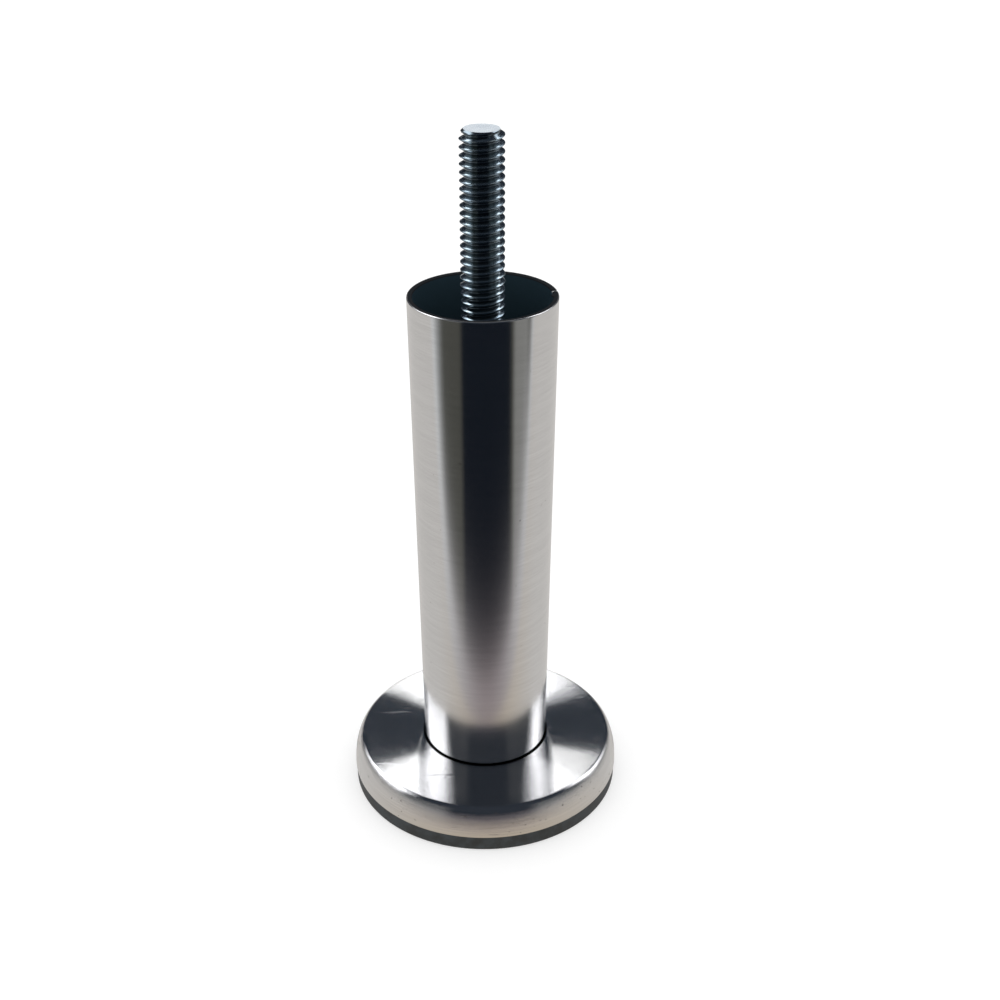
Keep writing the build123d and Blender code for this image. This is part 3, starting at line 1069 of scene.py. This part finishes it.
def make_floor(stage):
    """Pale floor, which the metal mirrors with dark and light parts as in a studio."""
    outline = np.array([(0.0, 0.0), (stage.floor_middle, 0.0), (stage.floor_radius, 0.0)])
    spots, faces = lathe(outline, even_angles(64), closed=False)
    mesh = bpy.data.meshes.new("floor")
    mesh.from_pydata(spots.tolist(), [], faces)
    floor = bpy.data.objects.new("floor", mesh)
    bpy.context.scene.collection.objects.link(floor)
    material = bpy.data.materials.new("floor_pale")
    material.use_nodes = True
    tree = material.node_tree
    tree.nodes.clear()
    graph = Graph(tree)
    place = graph.add("ShaderNodeTexCoord").outputs["Object"]
    parts = graph.add("ShaderNodeSeparateXYZ", {0: place}).outputs
    ahead = graph.math("MULTIPLY", parts[1], -1.0)
    degrees = graph.math("DEGREES", graph.math("ARCTAN2", parts[0], ahead))
    # Far off, a wide dim stretch with a grey stripe and a dark middle, which darkens the sleeve.
    pale, dim = (0.745, 0.775, 0.79, 1.0), (0.075, 0.075, 0.066, 1.0)
    grey, dark = (0.25, 0.25, 0.24, 1.0), (0.004, 0.007, 0.013, 1.0)
    far = graph.mix(graph.band(degrees, -58.0, 78.0, 32.0), pale, dim)
    far = graph.mix(graph.band(degrees, 52.0, 66.0, 9.0), far, grey)
    far = graph.mix(graph.band(degrees, -27.0, 38.0, 10.0), far, dark)
    # Close to the foot, paler towards the sides and warmer right in front of it.
    front, side = (0.345, 0.30, 0.31, 1.0), (0.72, 0.73, 0.74, 1.0)
    warm_front, warm_side = (0.56, 0.48, 0.385, 1.0), (0.66, 0.64, 0.62, 1.0)
    aside = graph.ramp(graph.math("ABSOLUTE", graph.math("SUBTRACT", degrees, 5.0)), 0.0, 95.0)
    warm = graph.mix(aside, warm_front, warm_side)
    near = graph.mix(graph.ramp(ahead, 0.034, 0.040, 1.0, 0.0), graph.mix(aside, front, side), warm)
    # Right behind the foot, a dark patch.
    radius, _ = graph.polar(place)
    close = graph.ramp(radius, 0.0285, 0.032, 1.0, 0.0)
    back = graph.math("MULTIPLY", close, graph.ramp(ahead, -0.012, -0.004, 1.0, 0.0))
    near = graph.mix(back, near, (0.03, 0.032, 0.035, 1.0))
    fade_start, fade_length = 0.050, 0.013
    past = graph.math("MULTIPLY", graph.math("SUBTRACT", ahead, fade_start), -1 / fade_length)
    fade = graph.math("MINIMUM", graph.math("EXPONENT", past), 1.0)
    mirrored = graph.add("ShaderNodeEmission", {"Color": graph.mix(fade, far, near)})
    paper = graph.add("ShaderNodeBsdfDiffuse", {"Color": (0.6, 0.6, 0.6, 1.0)})
    glow = graph.add("ShaderNodeEmission", {"Strength": 0.5})
    seen = graph.add("ShaderNodeAddShader", {0: paper.outputs[0], 1: glow.outputs[0]})
    plain = graph.add("ShaderNodeBsdfDiffuse", {"Color": (0.8, 0.8, 0.8, 1.0)})
    surface = graph.by_ray(plain.outputs[0], mirrored.outputs[0], seen.outputs[0])
    graph.add("ShaderNodeOutputMaterial", {"Surface": surface})
    mesh.materials.append(material)


def make_world(stage):
    """Soft studio light: white to the camera, light and dark parts in what metal mirrors."""
    world = bpy.data.worlds.new("studio")
    bpy.context.scene.world = world
    world.use_nodes = True
    tree = world.node_tree
    tree.nodes.clear()
    graph = Graph(tree)
    direction = graph.add("ShaderNodeTexCoord").outputs["Generated"]
    across, deep, up = graph.add("ShaderNodeSeparateXYZ", {0: direction}).outputs
    ahead = graph.math("MULTIPLY", deep, -1.0)
    azimuth = graph.math("DEGREES", graph.math("ARCTAN2", across, ahead))
    elevation = graph.math("DEGREES", graph.math("ARCSINE", up))
    # The foot's top mirrors a light behind the leg, above two slanted edges that make its fans.
    fan_depth, right_edge, left_edge = 0.788, (0.510, 0.0477), (-0.394, 0.0260)
    beyond = graph.math("SUBTRACT", deep, fan_depth)
    slant = graph.math(
        "MAXIMUM",
        graph.math("MULTIPLY_ADD", across, *right_edge),
        graph.math("MULTIPLY_ADD", across, *left_edge),
    )
    wedge = graph.ramp(graph.math("SUBTRACT", beyond, slant), -0.004, 0.006)
    behind = graph.math("MULTIPLY", wedge, graph.band(beyond, 0.045, 0.145, 0.008))
    # The bolt's end mirrors a narrow light farther down.
    edge = graph.band(beyond, 0.150, 0.195, 0.012)
    edge = graph.math("MULTIPLY", edge, graph.band(across, -0.10, 0.10, 0.03))
    # Lights at both sides brighten the sleeve's foot, and a dim glow low down the thread.
    opposite = graph.math("SUBTRACT", graph.math("MULTIPLY", beyond, -1.0), slant)
    opposite = graph.ramp(opposite, -0.005, 0.02)
    outside = graph.ramp(graph.math("ABSOLUTE", across), 0.55, 0.65)
    left, right = graph.ramp(azimuth, -72.0, -86.0, 0.0, 1.0), graph.ramp(azimuth, 94.0, 108.0)
    turned = graph.math("MAXIMUM", left, right)
    low = graph.band(elevation, 29.0, 50.0, 8.0)
    sides = graph.math("MULTIPLY", turned, low)
    sides = graph.math("MULTIPLY", sides, graph.math("MAXIMUM", opposite, outside))
    astray = graph.math("ABSOLUTE", graph.math("SUBTRACT", azimuth, 5.0))
    level = graph.ramp(elevation, 16.0, 24.0, 1.0, 0.0)
    glow = graph.math("MULTIPLY", graph.band(astray, 42.0, 125.0, 14.0), level)
    room, low_light, side_light = (0.030, 0.037, 0.050, 1.0), (0.3, 0.3, 0.3, 1.0), (2.9, 2.9, 3.0, 1.0)
    end_light, fan_light = (1.7, 1.7, 1.75, 1.0), (3.5, 3.5, 3.5, 1.0)
    look = graph.mix(sides, graph.mix(glow, room, low_light), side_light)
    look = graph.mix(behind, graph.mix(edge, look, end_light), fan_light)
    white = (1.0, 1.0, 1.0, 1.0)
    mirrored = graph.add("ShaderNodeBackground", {"Color": look})
    soft = graph.add("ShaderNodeBackground", {"Color": white, "Strength": stage.ambient})
    seen = graph.add("ShaderNodeBackground", {"Color": white})
    surface = graph.by_ray(soft.outputs[0], mirrored.outputs[0], seen.outputs[0])
    graph.add("ShaderNodeOutputWorld", {"Surface": surface})


class LEG_OT_stage(bpy.types.Operator):
    """Sets up the camera, the floor and the light"""

    bl_idname = "leg.stage"
    bl_label = "Stage"

    def execute(self, context):
        stage = context.scene.leg_stage
        make_floor(stage)
        make_world(stage)
        data = bpy.data.cameras.new("view")
        data.lens = stage.camera_lens
        data.clip_start, data.clip_end = 0.005, 10.0
        camera = bpy.data.objects.new("view", data)
        context.scene.collection.objects.link(camera)
        camera.location = stage.camera_place
        camera.rotation_euler = (math.pi / 2 - stage.camera_tilt, 0.0, 0.0)
        context.scene.camera = camera
        context.scene.view_settings.view_transform = "Standard"
        return {"FINISHED"}


OPERATORS = (
    LEG_OT_sleeve, LEG_OT_foot_cover, LEG_OT_foot_pad, LEG_OT_long_bolt, LEG_OT_clamp_set, LEG_OT_stage
)


class LEG_PT_panel(bpy.types.Panel):
    """Lists the leg's settings and the steps that build it"""

    bl_idname = "LEG_PT_panel"
    bl_label = "Furniture Leg"
    bl_space_type = "VIEW_3D"
    bl_region_type = "UI"
    bl_category = "Furniture Leg"

    def draw(self, context):
        for group in (context.scene.leg_sizes, context.scene.leg_finish, context.scene.leg_stage):
            column = self.layout.column()
            for key in group.bl_rna.properties.keys():
                if key not in ("rna_type", "name"):
                    column.prop(group, key)
        for step in OPERATORS:
            self.layout.operator(step.bl_idname)


CLASSES = (LegSizes, LegFinish, LegStage, *OPERATORS, LEG_PT_panel)


def register():
    """Adds the leg's classes and settings to the program."""
    for item in CLASSES:
        bpy.utils.register_class(item)
    bpy.types.Scene.leg_sizes = PointerProperty(type=LegSizes)
    bpy.types.Scene.leg_finish = PointerProperty(type=LegFinish)
    bpy.types.Scene.leg_stage = PointerProperty(type=LegStage)


def unregister():
    """Takes the leg's classes and settings out again."""
    del bpy.types.Scene.leg_stage
    del bpy.types.Scene.leg_finish
    del bpy.types.Scene.leg_sizes
    for item in reversed(CLASSES):
        bpy.utils.unregister_class(item)


def main():
    """Builds the whole leg and its stage."""
    register()
    bpy.ops.leg.sleeve()
    bpy.ops.leg.foot_cover()
    bpy.ops.leg.foot_pad()
    bpy.ops.leg.long_bolt()
    bpy.ops.leg.clamp_set()
    bpy.ops.leg.stage()


if __name__ == "__main__":
    main()
